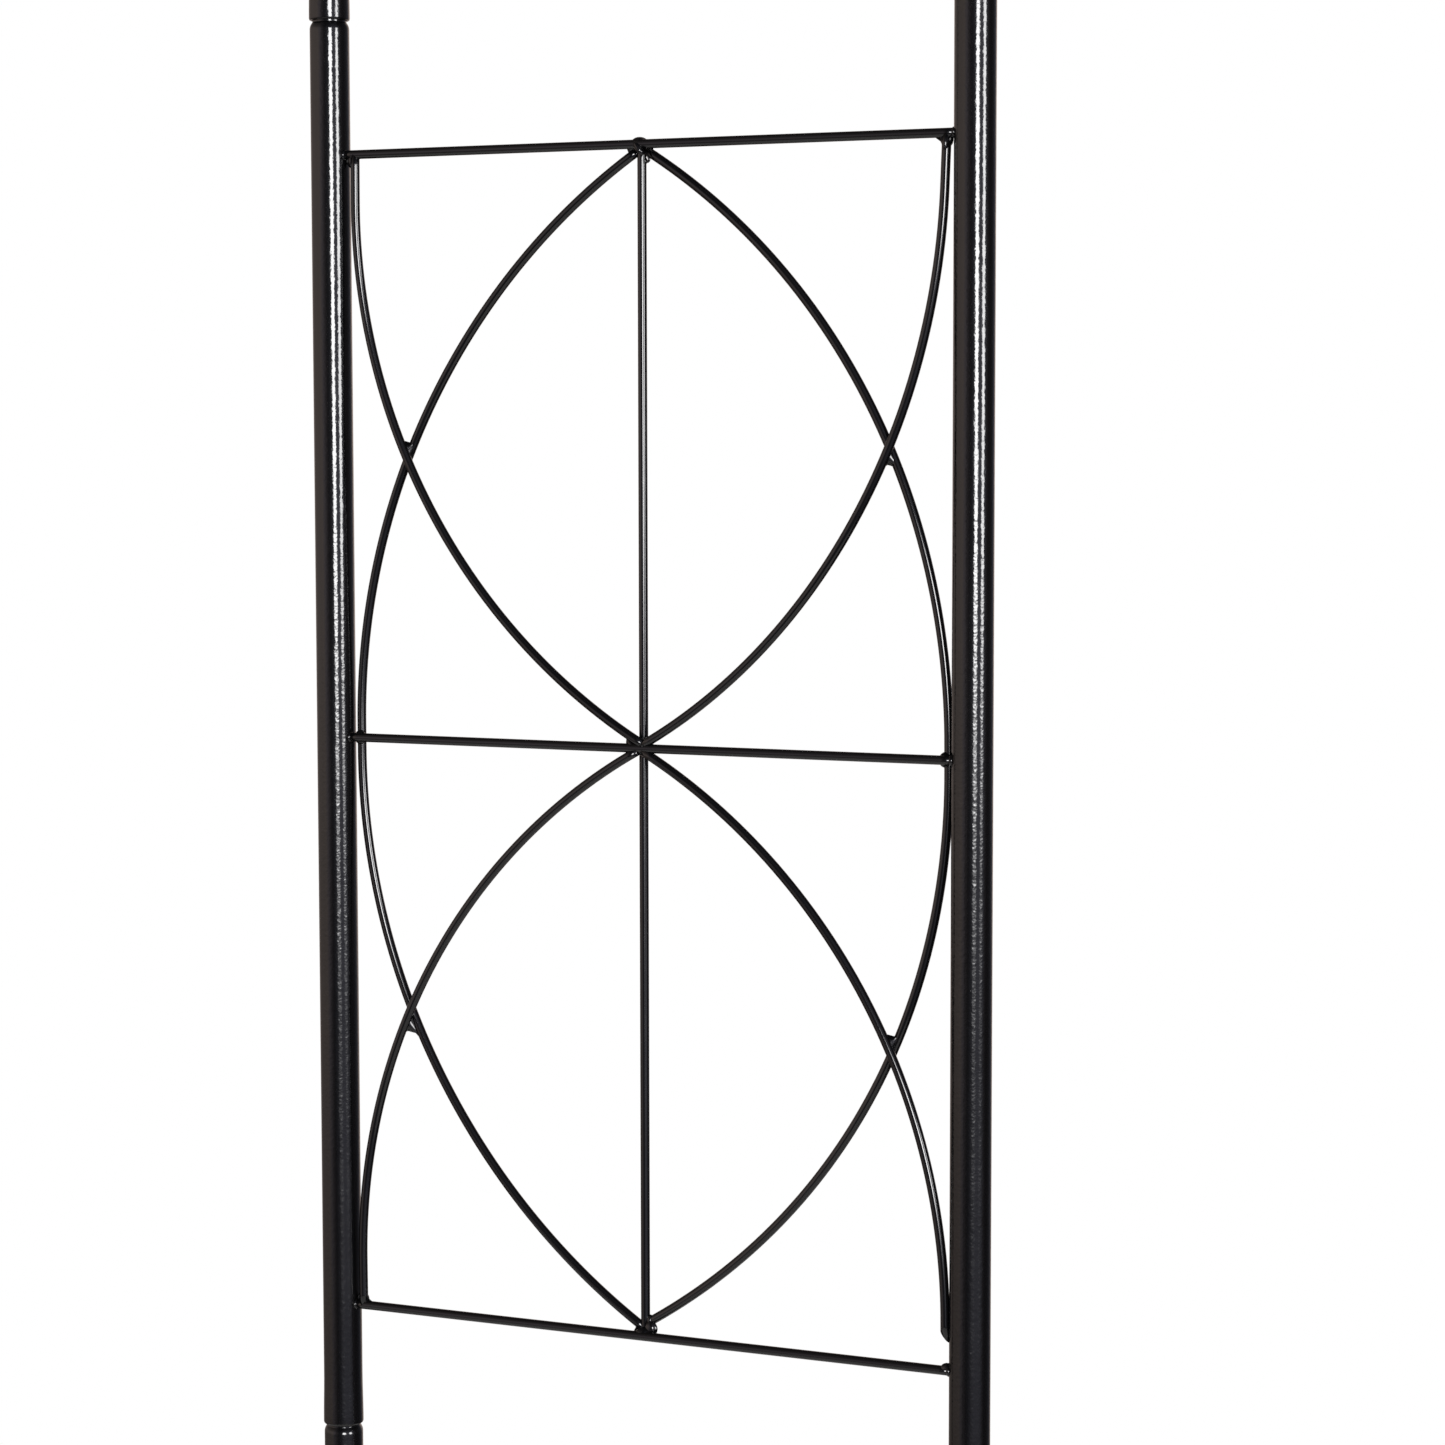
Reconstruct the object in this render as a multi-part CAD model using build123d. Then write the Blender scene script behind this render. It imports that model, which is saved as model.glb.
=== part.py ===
from build123d import *
import math
import os

# Garden arch with trellis sides.  X runs across the walk-through, Y is the depth
# and Z is up; the origin is on the ground, in the middle of the arch.
#
# Each panel is drawn once in its own axes and then placed: w points towards the
# walk-through, u runs from one post to the other and s runs up the posts from
# their lower ends.  The left side stands at -X and the right side at +X.

# ---- driving dimensions, mm ----
OPENING = 1200.0          # between the post axes, across the walk-through
DEPTH = 382.0             # between the front and rear post axes
TUBE_OD = 22.0
TUBE_WALL = 1.0
ROD_D = 5.0
PITCH = 795.0             # one section, from its lower ends to the next one's
PANEL_H = 650.0           # bottom bar to top bar
BAR_RISE = 70.5           # lower end of a post to its bottom bar

# Swaged sockets: each tube's lower end is a little flared and slips over the
# reduced spigot of the tube below.
SPIGOT_D = 19.0
SPIGOT_LEN = 45.0
SHOULDER_H = 4.0
NECK = 1.2                # spigot left showing between a shoulder and the next tube
FLARE = 0.35
FLARE_LEN = 8.0
LIP = 0.6

# Rods.  Cross bars and corner arcs lie in the layer towards the walk-through,
# the centre rod and the bows in the layer behind it.
LAYER = ROD_D / 2
TANGENT_U = 175.5         # from the centre rod to where a bow runs beside the post
BOW_LEAD = 8.0            # straight length of a bow each side of its middle
BOW_DROP = 3.0            # bows meet this far below the top bar's axis
CORNER_LEAD = 26.0        # straight length of a corner arc below the top bar
CORNER_RISE = 1.5         # corner arcs meet this far above the middle bar's axis
SHORT_END = 13.5          # one corner arc stops this far short of its bar
TRIM_GAP = 0.05           # between a rod's cut end and the rod that it meets

# Curved top: two quarters, each with straight ends for its sockets.
TOP_LEAD = 60.0
TOP_R = OPENING / 2 - TOP_LEAD
RUN = 48.0                # spacing of the points along a rod rolled to the curve
FILLET_SHARE = 0.45       # of a run, taken by the bend at each of its ends

# Foot plugs
PLUG_BASE_H = 3.0
PLUG_BASE_D = 23.0
PLUG_STEM_D = 19.7
PLUG_STEM_LEN = 24.0

tube_r = TUBE_OD / 2
rod_r = ROD_D / 2
spigot_r = SPIGOT_D / 2
panel_mid = BAR_RISE + PANEL_H / 2
top_mid = TOP_LEAD + TOP_R * math.pi / 4


# ---- tubes ----
def socket_outline(length):
    """Corners (radius, height) of a flared socket, outside going up, inside going up."""
    bore = tube_r - TUBE_WALL
    outside = [(tube_r + FLARE - LIP, 0), (tube_r + FLARE, LIP), (tube_r + FLARE, 2 * LIP),
               (tube_r, FLARE_LEN), (tube_r, length)]
    inside = [(bore + FLARE, 0), (bore, FLARE_LEN), (bore, length)]
    return outside, inside


def revolved(outline):
    """Closed line turned about Z."""
    face = make_face(Plane.XZ * outline)
    return revolve(face, axis=Axis.Z)


def socket_tube(length):
    """Straight tube with a flared socket at its lower end and a plain upper end."""
    outside, inside = socket_outline(length)
    return revolved(Polyline(*outside, *reversed(inside), close=True))


def spigot_end(start):
    """Rounded shoulder from height start, then the spigot, as a tube."""
    shoulder_top = start + SHOULDER_H
    tip = shoulder_top + NECK + SPIGOT_LEN
    shoulder = TangentArc((tube_r, start), (spigot_r, shoulder_top), tangent=(0, 1))
    rest = Polyline((spigot_r, shoulder_top), (spigot_r, tip), (spigot_r - TUBE_WALL, tip),
                    (spigot_r - TUBE_WALL, shoulder_top), (tube_r - TUBE_WALL, start), (tube_r, start))
    return revolved(Curve() + [shoulder, rest])


def post():
    """Straight post of a side panel."""
    shoulder_start = PITCH - NECK - SHOULDER_H
    return socket_tube(shoulder_start) + spigot_end(shoulder_start)


def top_tube(has_spigot):
    """Quarter bend with straight ends, its crown end either a spigot or a socket."""
    ring = Circle(tube_r) - Circle(tube_r - TUBE_WALL)
    bend = revolve(Pos(0, 0, TOP_LEAD) * ring, axis=Axis((TOP_R, 0, TOP_LEAD), (0, 1, 0)), revolution_arc=90)
    crown = TOP_LEAD + TOP_R
    if has_spigot:
        straight = TOP_LEAD - NECK - SHOULDER_H
        end = extrude(ring, straight) + spigot_end(straight)
        placed = Pos(TOP_R, 0, crown) * Rot(0, 90, 0) * end
    else:
        placed = Pos(crown, 0, crown) * Rot(0, -90, 0) * socket_tube(TOP_LEAD)
    return socket_tube(TOP_LEAD) + bend + placed


# ---- rod shapes: points and centre lines ----
def flat_point(w, u, s):
    """Point of a side panel."""
    return Vector(w, u, s)


def rolled_point(w, u, s):
    """Point of a top panel: s is rolled round the bend at its axis radius."""
    angle = (s - TOP_LEAD) / TOP_R
    radius = TOP_R - w
    return Vector(TOP_R - radius * math.cos(angle), u, TOP_LEAD + radius * math.sin(angle))


def bend_radius(rise):
    """Radius of an arc that starts upright at TANGENT_U and reaches the middle after this rise."""
    return (TANGENT_U ** 2 + rise ** 2) / (2 * TANGENT_U)


def arc_line(rise, lead):
    """Points (u, height) along a straight lead and then an arc to the middle, evenly spaced."""
    radius = bend_radius(rise)
    length = lead + radius * math.asin(rise / radius)
    count = round(length / RUN)
    points = []
    for i in range(count + 1):
        along = length * i / count
        angle = max(along - lead, 0) / radius
        points.append((TANGENT_U - radius * (1 - math.cos(angle)), min(along, lead) + radius * math.sin(angle)))
    return points


def tube_along(path):
    """Round rod along a centre line."""
    section = Plane(origin=path @ 0, z_dir=path % 0) * Circle(rod_r)
    return sweep(section, path=path)


def smooth_path(points):
    """Straight runs joined by tangent arcs, following a curve through these points."""
    corners = [points[0]]
    for before, here, after in zip(points, points[1:], points[2:]):
        corners.append(here - (before - here * 2 + after) / 8)
    corners.append(points[-1])
    radii = []
    for before, here, after in zip(corners, corners[1:], corners[2:]):
        turn = math.radians((here - before).get_angle(after - here))
        shorter = min((here - before).length, (after - here).length)
        radii.append(FILLET_SHARE * shorter / math.tan(turn / 2))
    return FilletPolyline(*corners, radius=radii)


def straight_rod(start, end, radius=rod_r):
    """Round rod between two points."""
    return Solid.make_cylinder(radius, (end - start).length, Plane(origin=start, z_dir=end - start))


# ---- the rods of one panel ----
def bar_line(point, s, radius=rod_r):
    """Cross bar's cylinder from post axis to post axis, or a wider one to cut other rods with."""
    return straight_rod(point(LAYER, -DEPTH / 2, s), point(LAYER, DEPTH / 2, s), radius)


def cross_bar(point, s):
    """Bar between the posts, its ends coped to them."""
    bar = bar_line(point, s)
    along = (point(0, 0, s + ROD_D) - point(0, 0, s - ROD_D)).normalized()
    for side in (-1, 1):
        start = point(0, side * DEPTH / 2, s) - along * ROD_D
        bar -= Solid.make_cylinder(tube_r, 2 * ROD_D, Plane(origin=start, z_dir=along))
    return bar


def upright(point, middle, radius=rod_r):
    """Centre rod from bottom bar to top bar, or a wider one to cut other rods with."""
    reach = PANEL_H / 2 + rod_r
    if point is flat_point:
        return straight_rod(point(-LAYER, 0, middle - reach), point(-LAYER, 0, middle + reach), radius)
    start = math.degrees((middle - reach - TOP_LEAD) / TOP_R)
    section = Pos(-TOP_R - LAYER, 0, 0) * Circle(radius)
    sector = revolve(section, axis=Axis.Y, revolution_arc=math.degrees(2 * reach / TOP_R))
    return Pos(TOP_R, 0, TOP_LEAD) * Rot(0, start, 0) * sector


def flat_bow(side):
    """Bow from top bar to bottom bar, bulging to one side."""
    end = PANEL_H / 2 - BOW_DROP
    u = side * TANGENT_U
    line = [flat_point(-LAYER, u, panel_mid + z) for z in (-BOW_LEAD, BOW_LEAD)]
    tips = [flat_point(-LAYER, 0, panel_mid + z) for z in (-end, end)]
    lower = TangentArc(line[0], tips[0], tangent=(0, 0, -1))
    upper = TangentArc(line[1], tips[1], tangent=(0, 0, 1))
    return tube_along(Wire([lower, Line(*line), upper]))


def rolled_bow(side):
    """Bow of a top panel."""
    rise = PANEL_H / 2 - BOW_DROP - BOW_LEAD
    half = arc_line(rise, BOW_LEAD)
    outline = [(u, -z) for u, z in reversed(half)] + half[1:]
    return tube_along(smooth_path([rolled_point(-LAYER, side * u, top_mid + z) for u, z in outline]))


def flat_corner_arc(side, up, shortfall):
    """Arc from a corner beside the post to the middle of the panel."""
    u = side * TANGENT_U
    start = flat_point(LAYER, u, panel_mid + up * (PANEL_H / 2 - shortfall))
    bend = flat_point(LAYER, u, panel_mid + up * (PANEL_H / 2 - CORNER_LEAD))
    tip = flat_point(LAYER, 0, panel_mid + up * CORNER_RISE)
    return tube_along(Wire([Line(start, bend), TangentArc(bend, tip, tangent=(0, 0, -up))]))


def rolled_corner_arc(side, up):
    """Corner arc of a top panel."""
    rise = PANEL_H / 2 - CORNER_LEAD - CORNER_RISE
    outline = arc_line(rise, CORNER_LEAD)
    heights = [(side * u, up * (PANEL_H / 2 - z)) for u, z in outline]
    return tube_along(smooth_path([rolled_point(LAYER, u, top_mid + z) for u, z in heights]))


def half_space(side):
    """Large block on one side of the panel's middle plane."""
    size = 4 * PANEL_H
    return Pos(0, side * (size / 2 + TRIM_GAP), panel_mid) * Box(size, size, size)


def largest(shape):
    """The main piece of a shape that a cut has left in several."""
    return max(shape.solids(), key=lambda solid: solid.volume)


def panel_rods(rolled, short_corner=False):
    """All rods of a panel by name, cut to fit each other, in the panel's own axes."""
    point = rolled_point if rolled else flat_point
    middle = top_mid if rolled else panel_mid
    heights = {name: middle + place * PANEL_H / 2
               for name, place in (("bottom_bar", -1), ("middle_bar", 0), ("top_bar", 1))}
    rods = {name: cross_bar(point, s) for name, s in heights.items()}
    rods["centre_rod"] = upright(point, middle)
    bar_cuts = [bar_line(point, s, rod_r + TRIM_GAP) for s in heights.values()]
    centre_cut = upright(point, middle, rod_r + TRIM_GAP)
    bows = []
    arcs = []
    for side in (-1, 1):
        bow = rolled_bow(side) if rolled else flat_bow(side)
        bows.append(largest(bow - centre_cut))
        for up in (-1, 1):
            if rolled:
                arc = rolled_corner_arc(side, up)
            else:
                shortfall = SHORT_END if short_corner and side == 1 and up == -1 else 0
                arc = flat_corner_arc(side, up, shortfall)
            arcs.append(largest((arc - bar_cuts) & half_space(side)))
    rods["bows"] = Compound(bows)
    rods["corner_arcs"] = Compound(arcs)
    return rods


# ---- placing and writing ----
def foot_plug():
    """End plug that closes the socket at the foot of a post."""
    base = Pos(0, 0, PLUG_BASE_H / 2) * Cylinder(PLUG_BASE_D / 2, PLUG_BASE_H)
    stem = Pos(0, 0, PLUG_BASE_H + PLUG_STEM_LEN / 2) * Cylinder(PLUG_STEM_D / 2, PLUG_STEM_LEN)
    stem = chamfer(stem.edges().sort_by(Axis.Z)[-1], PLUG_BASE_H / 2)
    return base + stem


def write(name, shape):
    """One STEP file for one named piece."""
    export_step(shape, os.path.join("parts", name + ".step"))


def place_side(side, height):
    """Moves a panel from its own axes to its side of the arch."""
    turn = Rot(0, 0, 180) if side == "right" else Rot(0, 0, 0)
    return Pos(OPENING / 2 if side == "right" else -OPENING / 2, 0, height) * turn


def write_panel(prefix, place, pieces):
    """Writes a panel's rods and its two tubes; front is towards -Y on both sides."""
    for name, shape in pieces.items():
        write(prefix + name, place * shape)


def tube_ends(side):
    """Own-axes u of the front and rear tubes on this side."""
    front = DEPTH / 2 if side == "right" else -DEPTH / 2
    return {"front": front, "rear": -front}


os.makedirs("parts", exist_ok=True)

for level, section in enumerate(("lower", "upper")):
    for side in ("left", "right"):
        pieces = panel_rods(False, short_corner=(section, side) == ("upper", "right"))
        for end, u in tube_ends(side).items():
            pieces[end + "_post"] = Pos(0, u, 0) * post()
        write_panel(f"{section}_{side}_", place_side(side, PLUG_BASE_H + level * PITCH), pieces)

for side in ("left", "right"):
    pieces = panel_rods(True)
    for end, u in tube_ends(side).items():
        pieces[end + "_tube"] = Pos(0, u, 0) * top_tube(side == "left")
    write_panel(f"arch_{side}_", place_side(side, PLUG_BASE_H + 2 * PITCH), pieces)

for side in ("left", "right"):
    for end, u in tube_ends(side).items():
        write(f"foot_plug_{side}_{end}", place_side(side, 0) * Pos(0, u, 0) * foot_plug())
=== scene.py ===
import math

import bpy
import numpy as np
from mathutils import Matrix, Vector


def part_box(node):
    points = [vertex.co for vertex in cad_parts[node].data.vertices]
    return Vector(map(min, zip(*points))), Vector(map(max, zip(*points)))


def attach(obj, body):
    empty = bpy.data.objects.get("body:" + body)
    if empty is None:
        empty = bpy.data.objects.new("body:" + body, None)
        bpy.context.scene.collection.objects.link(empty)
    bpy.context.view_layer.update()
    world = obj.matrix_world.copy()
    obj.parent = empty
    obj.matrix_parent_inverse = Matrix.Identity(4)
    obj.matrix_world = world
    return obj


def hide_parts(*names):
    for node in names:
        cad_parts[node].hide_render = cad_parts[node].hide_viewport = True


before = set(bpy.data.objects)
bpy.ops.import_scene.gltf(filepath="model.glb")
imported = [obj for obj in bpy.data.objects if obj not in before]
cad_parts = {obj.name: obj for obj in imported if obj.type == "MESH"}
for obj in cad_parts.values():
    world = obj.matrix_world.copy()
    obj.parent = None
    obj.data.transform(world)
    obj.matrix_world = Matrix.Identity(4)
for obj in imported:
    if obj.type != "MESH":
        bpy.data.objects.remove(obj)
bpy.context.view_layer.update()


# ---------------------------------------------------------------- foot plugs
# Each of the four legs stands on a black plastic plug, pressed into the open
# socket at the tube's lower end.  It is injection moulded polypropylene with a
# fine spark-eroded texture, so it is duller than the coated steel above it.
PLUG_BLACK = "#17181A"
PLUG_ROUGHNESS = 0.52
PLUG_SPREAD = 0.06              # the roughness varies by this much either way
MOULD_TEXTURE = 0.0006          # spacing of the texture left by the mould, m
MOULD_DEPTH = 0.00004


def linear(hex_colour):
    """sRGB hex to linear: each channel to the power 2.4, with the straight toe below 0.04."""
    srgb = np.array([int(hex_colour[i:i + 2], 16) for i in (1, 3, 5)]) / 255
    return (*np.where(srgb <= 0.04045, srgb / 12.92, ((srgb + 0.055) / 1.055) ** 2.4), 1.0)


def add(tree, kind, settings, **links):
    """Adds a node, sets its attributes or inputs by name and links inputs (_ stands for a space)."""
    node = tree.nodes.new(kind)
    for name, value in settings.items():
        if name in node.inputs:
            node.inputs[name].default_value = value
        else:
            setattr(node, name, value)
    for name, output in links.items():
        tree.links.new(output, node.inputs[name.replace("_", " ")])
    return node


def finish_of(name):
    """An empty material with its output and its Object coordinates."""
    material = bpy.data.materials.new(name)
    material.use_nodes = True
    tree = material.node_tree
    tree.nodes.clear()
    return material, tree, add(tree, "ShaderNodeTexCoord", {}).outputs["Object"]


def moulded_polypropylene():
    """Dull black moulding: the eroded texture breaks up its reflections."""
    material, tree, place = finish_of("moulded_polypropylene")
    grain = add(tree, "ShaderNodeTexNoise", {"Scale": 1 / MOULD_TEXTURE, "Detail": 3.0}, Vector=place)
    bump = add(tree, "ShaderNodeBump", {"Distance": MOULD_DEPTH}, Height=grain.outputs["Fac"])
    spread = {"To Min": PLUG_ROUGHNESS - PLUG_SPREAD, "To Max": PLUG_ROUGHNESS + PLUG_SPREAD}
    tone = add(tree, "ShaderNodeMapRange", spread, Value=grain.outputs["Fac"])
    shader = add(tree, "ShaderNodeBsdfPrincipled", {"Base Color": linear(PLUG_BLACK), "IOR": 1.49},
                 Roughness=tone.outputs["Result"], Normal=bump.outputs["Normal"])
    add(tree, "ShaderNodeOutputMaterial", {}, Surface=shader.outputs["BSDF"])
    return material


plug_finish = moulded_polypropylene()
for node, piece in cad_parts.items():
    if node.startswith("foot_plug"):
        piece.data.materials.clear()
        piece.data.materials.append(plug_finish)


# ------------------------------------------------------- posts of the four sides
# Round welded steel tube.  The lower end is flared a little into a socket, and
# the upper end is swaged down to a spigot behind a rounded shoulder, so that the
# sections push together.  All of it is powder coated gloss black after welding.
post_low, post_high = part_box("lower_left_front_post")
MOUTH_R = (post_high[0] - post_low[0]) / 2
TUBE_LOW = post_low[2]
FLARE = 0.00035                 # how far a socket stands out past its tube
TUBE_R = MOUTH_R - FLARE
WALL = 0.001
SPIGOT_R = 0.0095
SPIGOT_LEN = 0.045
NECK = 0.0012                   # spigot left showing between a shoulder and the next tube
SHOULDER_H = 0.004
ROOT_H = 0.0004                 # height of the first ring above a shoulder, which keeps its corner sharp
TIP_H = 0.0006                  # rounding at a spigot's tip, along it and across it
TIP_ROUND = 0.0004
FLARE_LEN = 0.030
INNER_FLARE = 0.5               # share of the flare that the bore has at its very end
LIP = 0.0013                    # height of the rounding at a socket's end
LIP_SHARE = 0.75                # share of the wall that this rounding takes
AROUND = 56                     # facets round a tube
LIP_STEPS = 7
FLARE_STEPS = 8
SHOULDER_STEPS = 12

COAT_BLACK = "#070708"
COAT_ROUGHNESS = 0.105
PEEL = 0.0027                   # spacing of the orange peel in the coat, m
PEEL_DEPTH = 0.00009
FINE_PEEL = 0.0011
FINE_SHARE = 0.3
NIB_SPACING = 0.011             # grains of dust under the coat, one in each cell of this size
NIB_R = 0.00032
NIB_SHARE = 0.9                 # height of a grain, in peel depths
CLOUD = 0.035                   # spacing of the slow changes in gloss
GLOSS_LOW = 0.8                 # the roughness varies between these shares of itself
GLOSS_HIGH = 1.25


def post_middle(node):
    """Where a post stands: the middle of its box, on the ground plan."""
    low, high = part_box(node)
    return (low[0] + high[0]) / 2, (low[1] + high[1]) / 2


HALF_OPENING, HALF_DEPTH = (abs(value) for value in post_middle("lower_left_front_post"))
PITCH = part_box("upper_left_front_post")[0][2] - TUBE_LOW


def side_place(sign, base):
    """Turns panel distances (w towards the walk-through, u across, s up) into room places."""
    def place(w, u, s):
        w, u, s = np.broadcast_arrays(w, u, s)
        return np.stack([sign * (HALF_OPENING - w), -sign * u, base + s], axis=-1)
    return place


def skin(name, shells, finish, loop=False):
    """A mesh from shells of rings.  Each shell is an array (rings, points round, 3), and its
    rings are joined by quads.  A loop joins the last ring to the first, as round a tube's wall;
    otherwise the first and last rings are capped."""
    points = []
    faces = []
    start = 0
    for shell in shells:
        rings, around = shell.shape[:2]
        row = np.arange(rings if loop else rings - 1)[:, None]
        col = np.arange(around)[None, :]
        here = row * around
        above = (row + 1) % rings * around
        beside = (col + 1) % around
        corners = np.broadcast_arrays(here + col, here + beside, above + beside, above + col)
        faces += (np.stack(corners, axis=-1).reshape(-1, 4) + start).tolist()
        if not loop:
            faces += [(start + np.arange(around)[::-1]).tolist(),
                      (start + (rings - 1) * around + np.arange(around)).tolist()]
        points.append(shell.reshape(-1, 3))
        start += rings * around
    mesh = bpy.data.meshes.new(name)
    mesh.from_pydata(np.concatenate(points).tolist(), [], faces)
    mesh.shade_smooth()
    mesh.materials.append(finish)
    piece = bpy.data.objects.new(name, mesh)
    bpy.context.scene.collection.objects.link(piece)
    return piece


def tube_rings(place, u_axis, profile):
    """Rings of a tube about the line u = u_axis: for each (radius, distance along), the circle
    w = radius cos a, u = u_axis + radius sin a."""
    radius, along = np.array(profile).T
    a = np.linspace(0, 2 * np.pi, AROUND, endpoint=False)
    return place(radius[:, None] * np.cos(a), u_axis + radius[:, None] * np.sin(a), along[:, None] + 0 * a)


def mouth():
    """Outside of a socket's end, going up: a quarter of an ellipse round the lip, then the flare
    easing into the tube as a half cosine."""
    lip = [(MOUTH_R - LIP_SHARE * WALL * (1 - math.sin(t)), LIP * (1 - math.cos(t)))
           for t in np.linspace(0, np.pi / 2, LIP_STEPS)]
    flare = [(MOUTH_R - FLARE * (1 - math.cos(np.pi * t)) / 2, LIP + (FLARE_LEN - LIP) * t)
             for t in np.linspace(0, 1, FLARE_STEPS)[1:]]
    return lip + flare


def bore_mouth():
    """Inside of the same end, going down."""
    return [(TUBE_R - WALL, FLARE_LEN), (TUBE_R - WALL + FLARE, LIP), (TUBE_R - WALL + INNER_FLARE * FLARE, 0)]


def spigot(start):
    """Outside of a swaged end, going up from the shoulder: an arc of a circle that leaves the tube
    smoothly, then the straight spigot with a rounded tip."""
    drop = TUBE_R - SPIGOT_R
    radius = (drop ** 2 + SHOULDER_H ** 2) / (2 * drop)
    rise = np.linspace(0, SHOULDER_H, SHOULDER_STEPS)
    arc = [(TUBE_R - radius + math.sqrt(radius ** 2 - h ** 2), start + h) for h in rise]
    tip = start + SHOULDER_H + NECK + SPIGOT_LEN
    return arc + [(SPIGOT_R, start + SHOULDER_H + ROOT_H), (SPIGOT_R, tip - TIP_H),
                  (SPIGOT_R - TIP_ROUND, tip)]


def spigot_bore(start):
    """Inside of a swaged end, going down."""
    tip = start + SHOULDER_H + NECK + SPIGOT_LEN
    return [(SPIGOT_R - WALL, tip), (SPIGOT_R - WALL, start + SHOULDER_H), (TUBE_R - WALL, start)]


def maths(tree, operation, *values):
    """One step of arithmetic between sockets and numbers."""
    node = tree.nodes.new("ShaderNodeMath")
    node.operation = operation
    for socket, value in zip(node.inputs, values):
        if isinstance(value, (int, float)):
            socket.default_value = value
        else:
            tree.links.new(value, socket)
    return node.outputs["Value"]


def powder_coat(name, roughness, peel, peel_depth):
    """Polyester powder coat, flowed out gloss but not flat: orange peel makes the edges of its
    highlights waver, and here and there a grain of dust stands under it."""
    material, tree, place = finish_of(name)
    coarse = add(tree, "ShaderNodeTexNoise", {"Scale": 1 / peel, "Detail": 1.0}, Vector=place)
    fine = add(tree, "ShaderNodeTexNoise", {"Scale": 1 / FINE_PEEL, "Detail": 0.0}, Vector=place)
    swell = maths(tree, "MULTIPLY_ADD", fine.outputs["Fac"], FINE_SHARE, coarse.outputs["Fac"])
    dust = add(tree, "ShaderNodeTexVoronoi", {"Scale": 1 / NIB_SPACING}, Vector=place)
    rounded = {"interpolation_type": "SMOOTHSTEP", "From Min": 0.0, "From Max": NIB_R / NIB_SPACING,
               "To Min": NIB_SHARE, "To Max": 0.0}
    nib = add(tree, "ShaderNodeMapRange", rounded, Value=dust.outputs["Distance"])
    relief = maths(tree, "ADD", swell, nib.outputs["Result"])
    bump = add(tree, "ShaderNodeBump", {"Distance": peel_depth}, Height=relief)
    cloud = add(tree, "ShaderNodeTexNoise", {"Scale": 1 / CLOUD, "Detail": 2.0}, Vector=place)
    spread = {"From Min": 0.3, "From Max": 0.7,
              "To Min": roughness * GLOSS_LOW, "To Max": roughness * GLOSS_HIGH}
    gloss = add(tree, "ShaderNodeMapRange", spread, Value=cloud.outputs["Fac"])
    shader = add(tree, "ShaderNodeBsdfPrincipled", {"Base Color": linear(COAT_BLACK), "IOR": 1.5},
                 Roughness=gloss.outputs["Result"], Normal=bump.outputs["Normal"])
    add(tree, "ShaderNodeOutputMaterial", {}, Surface=shader.outputs["BSDF"])
    return material


tube_coat = powder_coat("gloss_powder_coat_on_tube", COAT_ROUGHNESS, PEEL, PEEL_DEPTH)
shoulder = PITCH - NECK - SHOULDER_H
post_profile = mouth() + spigot(shoulder) + spigot_bore(shoulder) + bore_mouth()
side_panels = {}
for level, (section, body) in enumerate((("lower", "lower_sides"), ("upper", "upper_sides"))):
    for side, sign in (("left", -1), ("right", 1)):
        place = side_place(sign, TUBE_LOW + level * PITCH)
        side_panels[f"{section}_{side}"] = (place, body)
        for end, u_axis in (("front", sign * HALF_DEPTH), ("rear", -sign * HALF_DEPTH)):
            node = f"{section}_{side}_{end}_post"
            post = skin(node + "_tube", [tube_rings(place, u_axis, post_profile)], tube_coat, loop=True)
            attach(post, body)
            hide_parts(node)


# ------------------------------------------------------------- tubes of the top
# The same tube, bent to a quarter circle with a straight end each side of the
# bend.  The left pair ends at the crown in spigots and the right pair in sockets.
TOP_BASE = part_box("arch_left_front_tube")[0][2]
TOP_LEAD = 0.06
BEND_R = HALF_OPENING - TOP_LEAD
BEND_LEN = BEND_R * math.pi / 2
BEND_STEPS = 97


def top_place(sign):
    """As side_place, with s rolled round the bend: the angle is (s - lead) / bend radius, held
    between 0 and a quarter turn, and what is left of s before and after it stays straight."""
    def place(w, u, s):
        w, u, s = np.broadcast_arrays(w, u, s)
        angle = np.clip((s - TOP_LEAD) / BEND_R, 0, np.pi / 2)
        after = np.maximum(s - TOP_LEAD - BEND_LEN, 0)
        inward = BEND_R - (BEND_R - w) * np.cos(angle) + after
        height = np.minimum(s, TOP_LEAD) + (BEND_R - w) * np.sin(angle)
        return np.stack([sign * (HALF_OPENING - inward), -sign * u, TOP_BASE + height], axis=-1)
    return place


top_len = 2 * TOP_LEAD + BEND_LEN
bend_steps = TOP_LEAD + np.linspace(0, BEND_LEN, BEND_STEPS)
outer_bend = [(TUBE_R, s) for s in bend_steps]
inner_bend = [(TUBE_R - WALL, s) for s in bend_steps[::-1]]
crown_shoulder = top_len - NECK - SHOULDER_H
crown_socket = [(radius, top_len - s) for radius, s in mouth()[::-1] + bore_mouth()[::-1]]
crown_ends = {"left": spigot(crown_shoulder) + spigot_bore(crown_shoulder), "right": crown_socket}
top_panels = {}
for side, sign in (("left", -1), ("right", 1)):
    place = top_place(sign)
    top_panels[f"arch_{side}"] = (place, "arch_top")
    profile = mouth() + outer_bend + crown_ends[side] + inner_bend + bore_mouth()
    for end, u_axis in (("front", sign * HALF_DEPTH), ("rear", -sign * HALF_DEPTH)):
        node = f"arch_{side}_{end}_tube"
        tube = skin(node + "_bent", [tube_rings(place, u_axis, profile)], tube_coat, loop=True)
        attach(tube, "arch_top")
        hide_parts(node)


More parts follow.
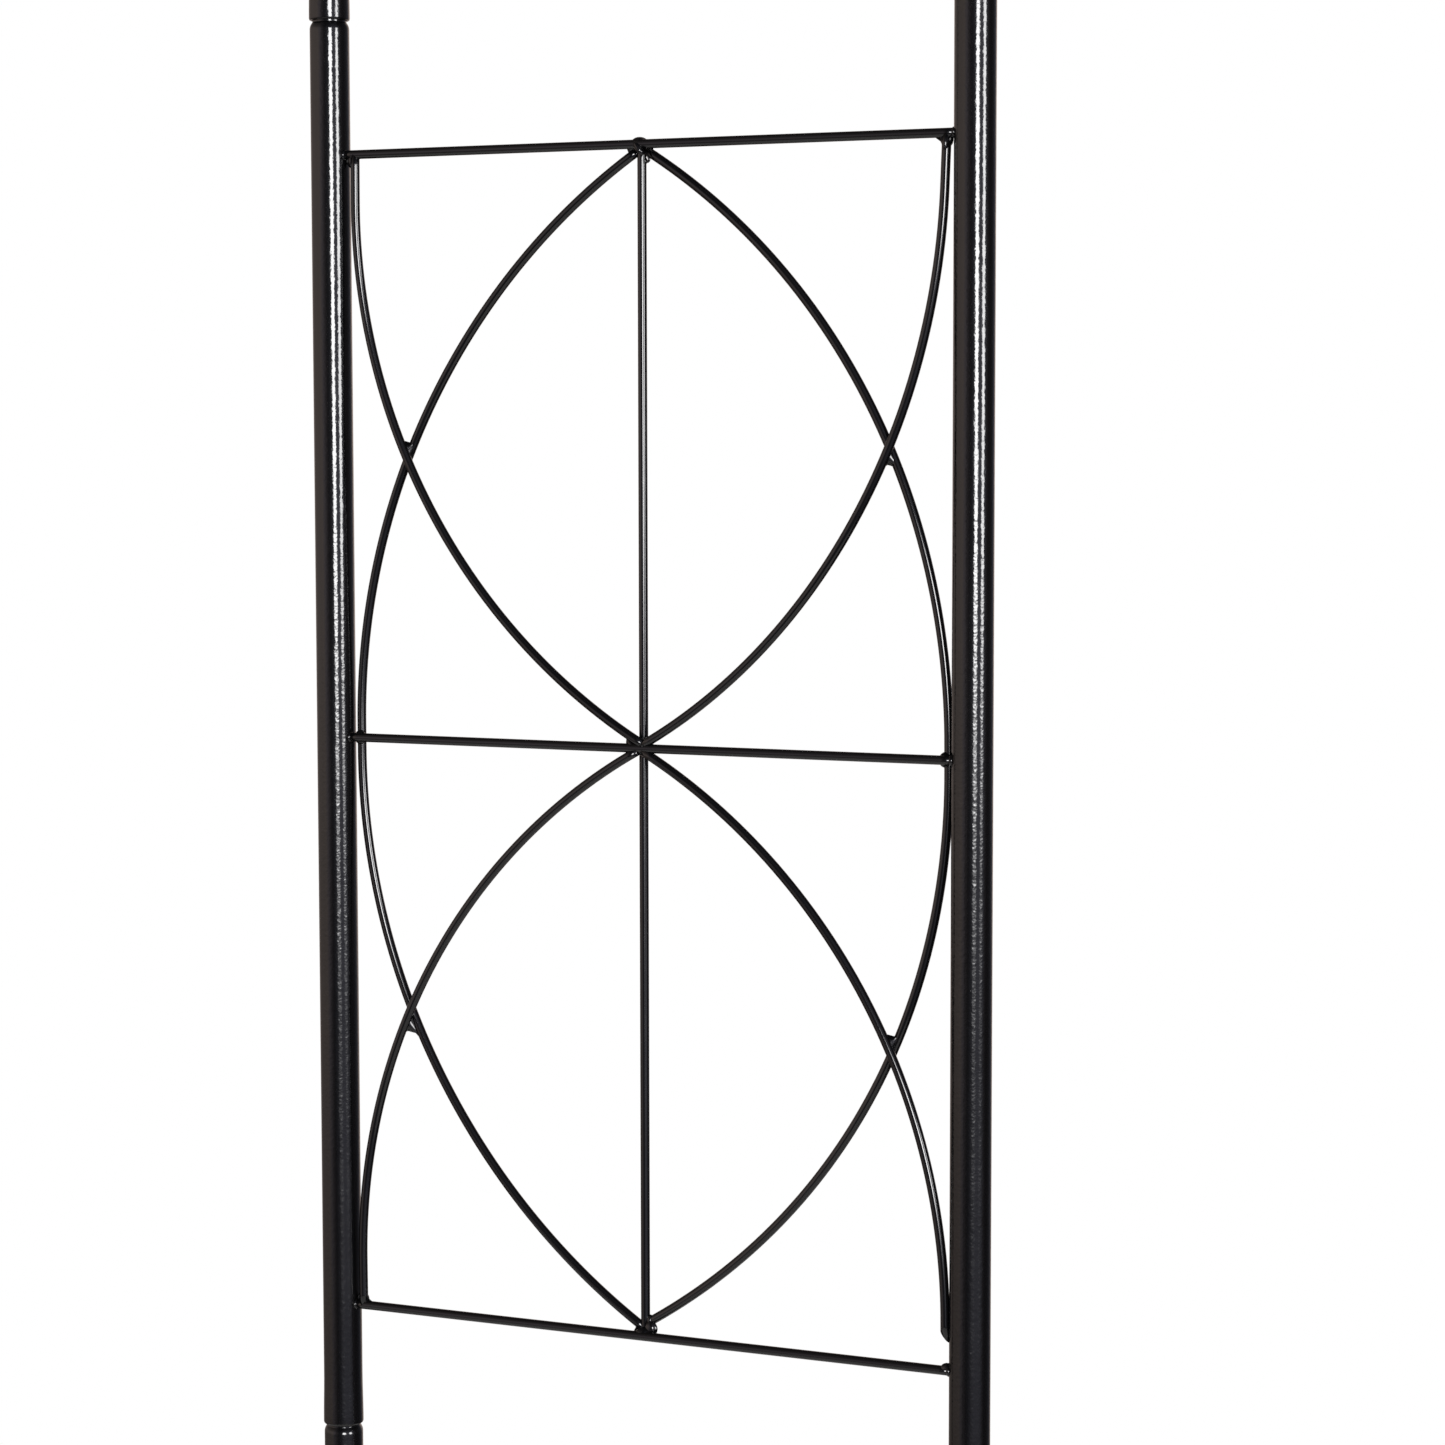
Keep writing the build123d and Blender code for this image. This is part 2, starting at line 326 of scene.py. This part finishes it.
# -------------------------------------------------------------------- cross bars
# Three straight round bars hold each pair of tubes apart.  They are cut to
# length from drawn wire rod and welded against the tubes' inner sides.
ROD_R = (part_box("lower_left_top_bar")[1][2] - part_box("lower_left_top_bar")[0][2]) / 2
LAYER = ROD_R                   # the bars' layer, towards the walk-through; the other is behind
ROD_AROUND = 24
ROD_STEP = 0.006
BAR_STEPS = 61
BURIED = 0.0015                 # how far a bar's end runs past the tube's outside
PROBE = 0.001                   # step either way that finds a panel's outward direction
ROD_GLOSS = 0.9                 # roughness and peel of the coat on rod, as shares of those on tube
ROD_PEEL = 0.06


def bar_height(node, base):
    """Height of a bar's middle above the lower end of its post."""
    low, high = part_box(node)
    return (low[2] + high[2]) / 2 - base


PANEL_MID = bar_height("lower_left_middle_bar", TUBE_LOW)
HALF_PANEL = bar_height("lower_left_top_bar", TUBE_LOW) - PANEL_MID
TOP_MID = TOP_LEAD + BEND_R * math.pi / 4
panels = {name: (place, body, PANEL_MID) for name, (place, body) in side_panels.items()}
panels.update({name: (place, body, TOP_MID) for name, (place, body) in top_panels.items()})


def unit(vectors):
    """Vectors at length one."""
    return vectors / np.linalg.norm(vectors, axis=-1, keepdims=True)


def rod_rings(place, w, u, s, radius=ROD_R):
    """Rings of a round rod bent along a line (w, u, s): each stands square to the line, its
    circle spanned by the panel's outward direction and the direction across the line."""
    centre = place(w, u, s)
    facing = unit(place(w + PROBE, u, s) - place(w - PROBE, u, s))
    along = unit(np.gradient(centre, axis=0))
    across = unit(np.cross(along, facing))
    facing = np.cross(across, along)
    a = np.linspace(0, 2 * np.pi, ROD_AROUND, endpoint=False)[None, :, None]
    spread = facing[:, None] * np.cos(a) + across[:, None] * np.sin(a)
    return centre[:, None] + np.reshape(radius + 0 * centre[:, 0], (-1, 1, 1)) * spread


rod_coat = powder_coat("gloss_powder_coat_on_rod", COAT_ROUGHNESS * ROD_GLOSS, PEEL, PEEL_DEPTH * ROD_PEEL)
bar_u = np.linspace(-1, 1, BAR_STEPS) * (HALF_DEPTH - TUBE_R + BURIED)
for name, (place, body, middle) in panels.items():
    for bar, height in (("bottom_bar", -HALF_PANEL), ("middle_bar", 0.0), ("top_bar", HALF_PANEL)):
        rings = rod_rings(place, LAYER, bar_u, middle + height)
        piece = skin(f"{name}_{bar}_rod", [rings], rod_coat)
        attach(piece, body)
        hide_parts(f"{name}_{bar}")


# -------------------------------------------------------------------- centre rods
# One rod runs up the middle of each panel behind the three bars, and is cut off
# level with the outer edges of the top and bottom bars.
CENTRE_STEPS = 110

for name, (place, body, middle) in panels.items():
    reach = HALF_PANEL + ROD_R
    s = middle + np.linspace(-reach, reach, CENTRE_STEPS)
    piece = skin(f"{name}_centre_rod_bar", [rod_rings(place, -LAYER, 0.0, s)], rod_coat)
    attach(piece, body)
    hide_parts(f"{name}_centre_rod")


# ---------------------------------------------------------------------------- bows
# Two rods bent to a long bow stand back to back in each panel, in the layer
# behind the bars.  Their ends butt against the centre rod just inside the bars.
# On the upper right side the hand bending wandered from the jig by up to 5 mm.
TANGENT_U = (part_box("lower_left_bows")[1][1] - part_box("lower_left_bows")[0][1]) / 2 - ROD_R
BOW_LEAD = 0.008
BOW_DROP = 0.003
PAST_MIDDLE = 0.0003            # a bow is cut off where it runs this far past the panel's middle
BENT_PANEL = "upper_right"
# How far each bow stands to the right of the jig's line, in mm, at the bottom bar,
# a quarter up, the middle, three quarters up and the top bar.
BOW_WANDER = {-1: (0, 0.5, -0.5, -0.5, -2), 1: (-5, 2, 1.5, 2, 2.5)}


def bent_line(rise, lead):
    """A straight lead, then an arc that turns in from TANGENT_U to the middle over this rise:
    its radius is (TANGENT_U^2 + rise^2) / (2 TANGENT_U).  Gives u and height, evenly spaced."""
    radius = (TANGENT_U ** 2 + rise ** 2) / (2 * TANGENT_U)
    length = lead + radius * math.asin(rise / radius)
    along = np.linspace(0, length, int(length / ROD_STEP))
    angle = np.maximum(along - lead, 0) / radius
    return TANGENT_U - radius * (1 - np.cos(angle)), np.minimum(along, lead) + radius * np.sin(angle)


def wander(values, first, share):
    """Smooth sideways drift in metres: the polynomial through the values in mm, which stand at
    even heights from first to 1."""
    stations = np.linspace(first, 1, len(values))
    return 0.001 * np.polyval(np.polyfit(stations, values, len(values) - 1), share)


bow_u, bow_h = bent_line(HALF_PANEL - BOW_DROP - BOW_LEAD, BOW_LEAD)
whole_u = np.concatenate([bow_u[::-1], bow_u[1:]])
whole_h = np.concatenate([-bow_h[::-1], bow_h[1:]])


def bow_line(name, side):
    """u along one bow, at the heights whole_h."""
    line = side * whole_u
    if name == BENT_PANEL:
        line = line + wander(BOW_WANDER[side], -1, whole_h / HALF_PANEL)
    return line


for name, (place, body, middle) in panels.items():
    shells = []
    for side in (-1, 1):
        u = bow_line(name, side)
        kept = side * u > -PAST_MIDDLE
        shells.append(rod_rings(place, -LAYER, u[kept], middle + whole_h[kept]))
    piece = skin(f"{name}_bows_bent", shells, rod_coat)
    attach(piece, body)
    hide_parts(f"{name}_bows")


# --------------------------------------------------------------------- corner arcs
# Four shorter rods in the bars' layer run from the corners beside the tubes to
# the middle of the panel, crossing in front of the bows.  One, on the upper
# right side, was sheared off aslant short of its bar.
CORNER_LEAD = 0.026
CORNER_RISE = 0.0015
SHEARED_ARC = (BENT_PANEL, 1, -1)
SHORT_END = 0.0135              # how far that arc stops short of its bar
SHEAR = 1.25                    # slope of its end
# The same drift for the four arcs, at the middle bar, halfway out and the corner.
ARC_WANDER = {(-1, 1): (3, 1.5, 1.5), (-1, -1): (-1.5, -1, 0), (1, 1): (1, -2.5, 1), (1, -1): (1.5, 2, 2.5)}

arc_u, arc_h = bent_line(HALF_PANEL - CORNER_LEAD - CORNER_RISE, CORNER_LEAD)
arc_height = HALF_PANEL - arc_h


def arc_line(name, side, up):
    """u along one corner arc, at the heights up * arc_height."""
    line = side * arc_u
    if name == BENT_PANEL:
        line = line + wander(ARC_WANDER[side, up], 0, arc_height / HALF_PANEL)
    return line


for name, (place, body, middle) in panels.items():
    shells = []
    for side, up in ((-1, -1), (-1, 1), (1, -1), (1, 1)):
        sheared = (name, side, up) == SHEARED_ARC
        kept = arc_h > SHORT_END if sheared else arc_h >= 0
        rings = rod_rings(place, LAYER, arc_line(name, side, up)[kept], middle + up * arc_height[kept])
        if sheared:
            rings[0, :, 2] += SHEAR * (rings[0, :, 1] - rings[0, :, 1].mean())
        shells.append(rings)
    piece = skin(f"{name}_corner_arcs_bent", shells, rod_coat)
    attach(piece, body)
    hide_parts(f"{name}_corner_arcs")


# --------------------------------------------------------------------------- welds
# Short hand-laid beads join the rods to each other and to the tubes.  The metal
# ran into the sharp corners between the rods, so it shows as hollow-ended webs
# there, and as low swellings where a bar meets a tube.
WEB_LEN = 0.0074                # how far a bead runs out into a sharp corner
LOW_WEB_LEN = 0.0056            # the same beside the bottom bar
WEB_THICK = 0.0019
THIN_WEB = 0.0016               # thickness at the middle of the panel and in its corners
HOLLOW = 0.8                    # share by which it runs further along the rods than between
SLIGHT_HOLLOW = 0.25            # the same beside the centre rod
CORNER_HOLLOW = 0.9             # and in the corner between a bar and an arc
CORNER_WEB_LEN = 0.0024
CORNER_ANGLE = math.pi / 4.4    # half the angle that this corner's bead fills
CROSSING_ANGLE = 0.36           # half the angle between an arc and the bow that it crosses
CROSSING_REACH = 0.8            # they cross within this share of the half panel
WEB_ROOT = 0.3                  # a web's half width at the very corner, in rod radii
WEB_START = 0.02
WEB_STEPS = 14
POLE = 0.02                     # a lump's first ring stands this many radians from its pole
LUMP_STEPS = 15
BEAD_AROUND = 22                # facets round a web or a lump
WAVE = 0.05                     # height of a lump's broad and narrow waves, as shares of its size
FINE_WAVE = 0.04
LUMP_TURN = 1.7                 # how far the waves turn from one lump, and one panel, to the next
PANEL_TURN = 2.3
# Half sizes of the lumps, in w, u and s.
TOP_LUMP = (0.0036, 0.0047, 0.0028)
ROD_END_LUMP = (0.0038, 0.0050, 0.0034)
BAR_END_LUMP = (0.0031, 0.0019, 0.0030)
BOW_SIDE_LUMP = (0.0036, 0.0032, 0.0040)
CORNER_LUMP = (0.0028, 0.0036, 0.0042)
SHEARED_LUMP = (0.0024, 0.0040, 0.0030)
THREAD_R = 0.0007
WELD_GLOSS = 1.3                # roughness and peel of the coat on a weld, as shares of those on tube
WELD_PEEL = 0.2
weld_coat = powder_coat("gloss_powder_coat_on_weld", COAT_ROUGHNESS * WELD_GLOSS, PEEL,
                        PEEL_DEPTH * WELD_PEEL)


def nugget(place, at, size, turn, lean=0.0):
    """A lump of weld: an ellipsoid of half sizes size about (w, u, s) = at, leaning over by an angle,
    its surface swelled by a few waves round it that start at a different angle for each turn."""
    t = np.linspace(POLE, np.pi - POLE, LUMP_STEPS)[:, None]
    a = np.linspace(0, 2 * np.pi, BEAD_AROUND, endpoint=False)[None, :]
    broad = WAVE * np.sin(t) * np.sin(3 * a + turn)
    narrow = FINE_WAVE * np.sin(2 * t + turn) * np.sin(5 * a - 2 * turn)
    swell = 1 + broad + narrow
    w = size[0] * swell * np.sin(t) * np.cos(a)
    u = size[1] * swell * np.sin(t) * np.sin(a)
    s = size[2] * swell * np.cos(t) * np.ones_like(a)
    leaned_u = u * math.cos(lean) + s * math.sin(lean)
    leaned_s = s * math.cos(lean) - u * math.sin(lean)
    return place(at[0] + w, at[1] + leaned_u, at[2] + leaned_s)[::-1]


def web(place, at, aim, half_angle, length, slant=0.0, hollow=HOLLOW, thick=WEB_THICK):
    """Weld in the corner between two rods that meet at (w, u, s) = at and open by twice half_angle
    towards aim (radians from +u to +s).  Its width grows with the corner, its thickness falls away
    as a sixth power, and its end is hollow: it runs on beside the rods by the share hollow, as cos^2.
    It leans by slant in w towards its left edge, from one rod's layer to the other's."""
    v = np.linspace(WEB_START, 1, WEB_STEPS)[:, None]
    a = np.linspace(0, 2 * np.pi, BEAD_AROUND, endpoint=False)[None, :]
    run = v * length * (1 + hollow * v * np.cos(a) ** 2)
    across = (math.tan(half_angle) * run + WEB_ROOT * ROD_R) * np.cos(a)
    w = at[0] + slant * np.cos(a) * np.sqrt(v) + thick * np.sqrt(1.02 - v ** 6) * np.sin(a)
    return place(w, at[1] + run * math.cos(aim) - across * math.sin(aim),
                 at[2] + run * math.sin(aim) + across * math.cos(aim))


def outward(rings):
    """The same rings in the order that makes their faces look outward: the volume inside them, the
    sum of a . (b x c) over the triangles of their walls and of their two caps, has to be positive."""
    here = rings - rings.mean(axis=(0, 1))
    beside = np.roll(here, -1, axis=1)
    lower = np.cross(here[:-1], beside[:-1]) * beside[1:]
    upper = np.cross(beside[1:], here[1:]) * here[:-1]
    walls = (lower + upper).sum()
    first, last = (np.cross(here[end], beside[end]).sum(axis=0) @ here[end].mean(axis=0)
                   for end in (0, -1))
    return rings if walls + last - first > 0 else rings[::-1]


def crossing(name, side, up):
    """u and height where a corner arc crosses its bow: where the gap between them is least."""
    arc = arc_line(name, side, up)
    bow = np.interp(up * arc_height, whole_h, bow_line(name, side))
    inner = np.flatnonzero(arc_height < CROSSING_REACH * HALF_PANEL)
    nearest = inner[np.argmin(np.abs(arc - bow)[inner])]
    return arc[nearest], up * arc_height[nearest]


def bent_panel_beads(place, bottom, top):
    """What the hand left on one section: a ridge run across the top bar, a run down beside its right
    end, a drip under it, a block of bead in two parts above the bottom bar, and a curled thread of
    spatter under the top bar, which follows the cubic through four points."""
    share = np.linspace(0, 1, 26)
    thread_points = ((0.0024, -0.0042), (0.0046, -0.0054), (0.0060, -0.0080), (0.0044, -0.0095))
    cubic = np.polyfit(np.linspace(0, 1, 4), thread_points, 3)
    thread_u = np.polyval(cubic[:, 0], share)
    thread_s = top + np.polyval(cubic[:, 1], share)
    right_end = TANGENT_U + 0.0006
    return [nugget(place, (LAYER + 0.0017, 0.0012, top - 0.0024), (0.0026, 0.0019, 0.0045), 0.0, -0.6),
            nugget(place, (LAYER + 0.0012, right_end, top - 0.0058), (0.0019, 0.0020, 0.0046), 0.9),
            nugget(place, (-LAYER, 0.0022, top - 0.0087), (0.0012, 0.0010, 0.0017), 1.1),
            nugget(place, (-0.0006, 0.0040, bottom + 0.0038), (0.0022, 0.0038, 0.0044), 2.0),
            nugget(place, (-0.0018, 0.0032, bottom + 0.0080), (0.0022, 0.0022, 0.0034), 0.6),
            rod_rings(place, 0.0012 + 0 * share, thread_u, thread_s, THREAD_R)]


# The small offsets in the places below, in metres, set each bead a little off the point where
# the rods' axes meet.
tube_side = HALF_DEPTH - TUBE_R
arc_rise = HALF_PANEL - CORNER_LEAD - CORNER_RISE
arc_end = math.asin(arc_rise / ((TANGENT_U ** 2 + arc_rise ** 2) / (2 * TANGENT_U)))
arc_to_bar = (math.pi / 2 - arc_end) / 2        # half the angle between an arc's inner end and the bar
for count, (name, (place, body, middle)) in enumerate(panels.items()):
    shells = []
    lumps = [((0.0006, 0, HALF_PANEL + 0.0011), TOP_LUMP),
             ((0.0002, 0, -HALF_PANEL + 0.0012), ROD_END_LUMP),
             ((-0.0004, 0, 0), ROD_END_LUMP)]
    for side in (-1, 1):
        ahead = math.pi if side < 0 else 0.0
        lumps += [((LAYER, side * (tube_side + 0.0006), height), BAR_END_LUMP)
                  for height in (-HALF_PANEL, 0.0, HALF_PANEL)]
        lumps += [((-0.0002, side * TANGENT_U, 0.0), BOW_SIDE_LUMP)]
        for up in (-1, 1):
            # On the right the bead lies on the middle bar's side of the crossing, on the left on the
            # other.  It leans from the arc's layer to the bow's.
            u, height = crossing(name, side, up)
            aim = (-up if side > 0 else up) * math.pi / 2
            shells.append(web(place, (0, u, middle + height), aim, CROSSING_ANGLE, WEB_LEN,
                              -LAYER * side * up))
            aim = ahead + side * up * arc_to_bar
            shells.append(web(place, (LAYER, 0, middle), aim, arc_to_bar, WEB_LEN, 0,
                              SLIGHT_HOLLOW, THIN_WEB))
            aim = ahead - side * up * arc_to_bar
            at = (0, 0, middle + up * (HALF_PANEL - 0.0004))
            length = WEB_LEN if up > 0 else LOW_WEB_LEN
            shells.append(web(place, at, aim, arc_to_bar, length, LAYER * up * side, SLIGHT_HOLLOW))
            if (name, side, up) == SHEARED_ARC:
                # The sheared rod falls short, so the bead only swells the bar against the tube.
                lumps += [((LAYER, side * (tube_side - 0.0006), up * (HALF_PANEL - 0.0012)), SHEARED_LUMP)]
                continue
            lumps += [((LAYER * 0.6, side * (TANGENT_U + 0.0008), up * (HALF_PANEL - 0.0032)), CORNER_LUMP)]
            at = (LAYER, side * (TANGENT_U - 0.001), middle + up * (HALF_PANEL - 0.001))
            shells.append(web(place, at, math.atan2(-up, -side), CORNER_ANGLE, CORNER_WEB_LEN, 0,
                              CORNER_HOLLOW, THIN_WEB))
    shells += [nugget(place, (w, u, middle + height), size, LUMP_TURN * spot + PANEL_TURN * count)
               for spot, ((w, u, height), size) in enumerate(lumps)]
    if name == BENT_PANEL:
        shells += bent_panel_beads(place, middle - HALF_PANEL, middle + HALF_PANEL)
    piece = skin(f"{name}_welds", [outward(rings) for rings in shells], weld_coat)
    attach(piece, body)


# ------------------------------------------------------------ floor, light, camera
# A pale round studio floor, surroundings that are white to the eye, and two tall
# soft boxes on one side, so that the gloss shows two long lines.
FLOOR_R = 1.5
FLOOR_SIDES = 128
FLOOR_DROP = 0.0005             # the floor lies this far below the feet
PAPER_WHITE = "#F4F4F2"
PAPER_ROUGHNESS = 0.85
FIBRE = 1 / 900                 # spacing of the paper's fibres, m
FIBRE_DEPTH = 0.0001

rim_angle = np.linspace(0, 2 * np.pi, FLOOR_SIDES, endpoint=False)
rim = np.stack([FLOOR_R * np.cos(rim_angle), FLOOR_R * np.sin(rim_angle), 0 * rim_angle - FLOOR_DROP],
               axis=-1)
floor_mesh = bpy.data.meshes.new("studio_floor")
floor_mesh.from_pydata(rim.tolist(), [], [list(range(FLOOR_SIDES))])
floor_material, tree, floor_place = finish_of("matt_white_paper")
fibre = add(tree, "ShaderNodeTexNoise", {"Scale": 1 / FIBRE, "Detail": 3.0}, Vector=floor_place)
bump = add(tree, "ShaderNodeBump", {"Distance": FIBRE_DEPTH}, Height=fibre.outputs["Fac"])
paper_finish = {"Base Color": linear(PAPER_WHITE), "Roughness": PAPER_ROUGHNESS}
paper = add(tree, "ShaderNodeBsdfPrincipled", paper_finish, Normal=bump.outputs["Normal"])
add(tree, "ShaderNodeOutputMaterial", {}, Surface=paper.outputs["BSDF"])
floor_mesh.materials.append(floor_material)
floor = bpy.data.objects.new("studio_floor", floor_mesh)
bpy.context.scene.collection.objects.link(floor)

# Brightness and tint of the surroundings round the compass, from the side that
# the camera stands on (0 degrees, towards -X) through -Y (90) to +X (180).
WARM = (1.16, 0.96, 0.87)
PLUM = (1.08, 0.94, 1.01)
COOL = (0.99, 0.98, 1.18)
SURROUNDINGS = (
    (-180, 1.0, WARM), (-150, 0.55, WARM), (-120, 0.34, WARM), (-98, 0.36, WARM), (-76, 0.62, WARM),
    (-43, 0.88, WARM), (-30, 0.72, PLUM), (-17, 0.38, PLUM), (-5, 0.15, PLUM), (7, 0.14, COOL),
    (20, 0.35, COOL), (45, 0.75, COOL), (62, 0.75, COOL), (84, 0.5, COOL), (92, 0.22, PLUM),
    (104, 0.07, PLUM), (119, 0.06, PLUM), (137, 0.11, COOL), (158, 0.26, COOL), (170, 0.6, WARM),
    (180, 1.0, WARM))
LEVEL_LOW = -3.0                # the surroundings keep their brightness between these elevations, in
LEVEL_HIGH = 8.0                # degrees, and fade outside them with these many degrees of fall and rise
FALL_DOWN = 22.0
FALL_UP = 24.0
SOFT_BOXES = ((33.5, 8.6, 27.0), (71.5, 7.2, 20.0))   # middle and half width in degrees, brightness
BOX_FADE_FROM = -1.5            # degrees above the horizon where the soft boxes start to fade downward
BOX_FADE = 2.0
BOX_TOP = 13.0
EDGE = 2.0                      # soft edge of a box, degrees

world = bpy.data.worlds.new("studio_surroundings")
bpy.context.scene.world = world
world.use_nodes = True
tree = world.node_tree
tree.nodes.clear()
direction = add(tree, "ShaderNodeTexCoord", {}).outputs["Generated"]
axes = add(tree, "ShaderNodeSeparateXYZ", {}, Vector=direction)
towards_front = maths(tree, "MULTIPLY", axes.outputs["Y"], -1.0)
towards_left = maths(tree, "MULTIPLY", axes.outputs["X"], -1.0)
azimuth = maths(tree, "MULTIPLY", maths(tree, "ARCTAN2", towards_front, towards_left), 180 / math.pi)
elevation = maths(tree, "MULTIPLY", maths(tree, "ARCSINE", axes.outputs["Z"]), 180 / math.pi)

ramp = add(tree, "ShaderNodeValToRGB", {})
tree.links.new(maths(tree, "MULTIPLY_ADD", azimuth, 1 / 360, 0.5), ramp.inputs["Fac"])
stops = ramp.color_ramp.elements
while len(stops) < len(SURROUNDINGS):
    stops.new(0.5)
for stop, (angle, brightness, tint) in zip(stops, SURROUNDINGS):
    stop.position = angle / 360 + 0.5
    stop.color = (*(brightness * share for share in tint), 1.0)
sunk = maths(tree, "MINIMUM", maths(tree, "ADD", elevation, -LEVEL_LOW), 0.0)
risen = maths(tree, "MAXIMUM", maths(tree, "SUBTRACT", elevation, LEVEL_HIGH), 0.0)
faded_down = maths(tree, "DIVIDE", sunk, FALL_DOWN)
faded_up = maths(tree, "DIVIDE", risen, -FALL_UP)
ambient = maths(tree, "EXPONENT", maths(tree, "ADD", faded_down, faded_up))
dimmed = add(tree, "ShaderNodeVectorMath", {"operation": "SCALE"}, Vector=ramp.outputs["Color"],
             Scale=ambient)

below = maths(tree, "MAXIMUM", maths(tree, "SUBTRACT", BOX_FADE_FROM, elevation), 0.0)
box_foot = maths(tree, "EXPONENT", maths(tree, "DIVIDE", below, -BOX_FADE))
top_shape = {"interpolation_type": "SMOOTHSTEP", "From Min": BOX_TOP - 2 * EDGE,
             "From Max": BOX_TOP + EDGE, "To Min": 1.0, "To Max": 0.0}
box_top = add(tree, "ShaderNodeMapRange", top_shape, Value=elevation)
box_height = maths(tree, "MULTIPLY", box_foot, box_top.outputs["Result"])
glow = 0.0
for box_azimuth, half_width, brightness in SOFT_BOXES:
    off = maths(tree, "ABSOLUTE", maths(tree, "SUBTRACT", azimuth, box_azimuth))
    side_shape = {"interpolation_type": "SMOOTHSTEP", "From Min": half_width - EDGE,
                  "From Max": half_width + EDGE, "To Min": 1.0, "To Max": 0.0}
    box_side = add(tree, "ShaderNodeMapRange", side_shape, Value=off)
    glow = maths(tree, "ADD", glow, maths(tree, "MULTIPLY", box_side.outputs["Result"], brightness))
glow = maths(tree, "MULTIPLY", glow, box_height)

# What lights and mirrors in the coat is the surroundings with the soft boxes; what the eye sees
# behind the arch is plain white.
lit = add(tree, "ShaderNodeVectorMath", {"operation": "ADD"})
tree.links.new(dimmed.outputs["Vector"], lit.inputs[0])
tree.links.new(glow, lit.inputs[1])
seen = add(tree, "ShaderNodeLightPath", {}).outputs["Is Camera Ray"]
colour = add(tree, "ShaderNodeMix", {"data_type": "RGBA"})
tree.links.new(seen, colour.inputs[0])
tree.links.new(lit.outputs["Vector"], colour.inputs[6])
colour.inputs[7].default_value = (1.0, 1.0, 1.0, 1.0)
background = add(tree, "ShaderNodeBackground", {"Strength": 1.0}, Color=colour.outputs[2])
add(tree, "ShaderNodeOutputWorld", {}, Surface=background.outputs["Background"])

# A wide overhead light falls on the floor.  It is screened from the coat's
# reflections, as if flags stood before it.
OVERHEAD_SIZE = 4.0
OVERHEAD_POWER = 150.0
OVERHEAD_HEIGHT = 4.5
overhead_data = bpy.data.lights.new("overhead", "AREA")
overhead_data.shape = "SQUARE"
overhead_data.size = OVERHEAD_SIZE
overhead_data.energy = OVERHEAD_POWER
overhead = bpy.data.objects.new("overhead", overhead_data)
overhead.location = (0.0, 0.0, OVERHEAD_HEIGHT)
overhead.visible_glossy = False
bpy.context.scene.collection.objects.link(overhead)

# The camera stands in front of the arch and to its left, at chest height, and
# looks in past the left side at the inner face of the upper right side.
LENS = 88.74
SENSOR = 36.0
STAND_OFF = 1.743               # from the right side's posts, m
STAND_ASIDE = 0.8285            # towards the front, from the middle of the depth
EYE_ABOVE_BAR = 0.1735
YAW = math.radians(24.12)       # turned from straight across the arch towards its rear
LOOK_DOWN = math.radians(4.73)
ROLL = math.radians(-0.078)

camera_data = bpy.data.cameras.new("camera")
camera_data.lens = LENS
camera_data.sensor_width = SENSOR
camera = bpy.data.objects.new("camera", camera_data)
bpy.context.scene.collection.objects.link(camera)
bar_low, bar_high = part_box("upper_right_middle_bar")
eye = np.array([HALF_OPENING - STAND_OFF, -STAND_ASIDE, (bar_low[2] + bar_high[2]) / 2 + EYE_ABOVE_BAR])
forward = np.array([math.cos(YAW) * math.cos(LOOK_DOWN),
                    math.sin(YAW) * math.cos(LOOK_DOWN),
                    -math.sin(LOOK_DOWN)])
level_right = np.array([math.sin(YAW), -math.cos(YAW), 0.0])
level_up = np.cross(level_right, forward)
image_right = math.cos(ROLL) * level_right + math.sin(ROLL) * level_up
image_up = math.cos(ROLL) * level_up - math.sin(ROLL) * level_right
stand = np.eye(4)
stand[:3] = np.stack([image_right, image_up, -forward, eye], axis=1)
camera.matrix_world = Matrix(stand.tolist())
bpy.context.scene.camera = camera
bpy.context.scene.view_settings.view_transform = "Standard"
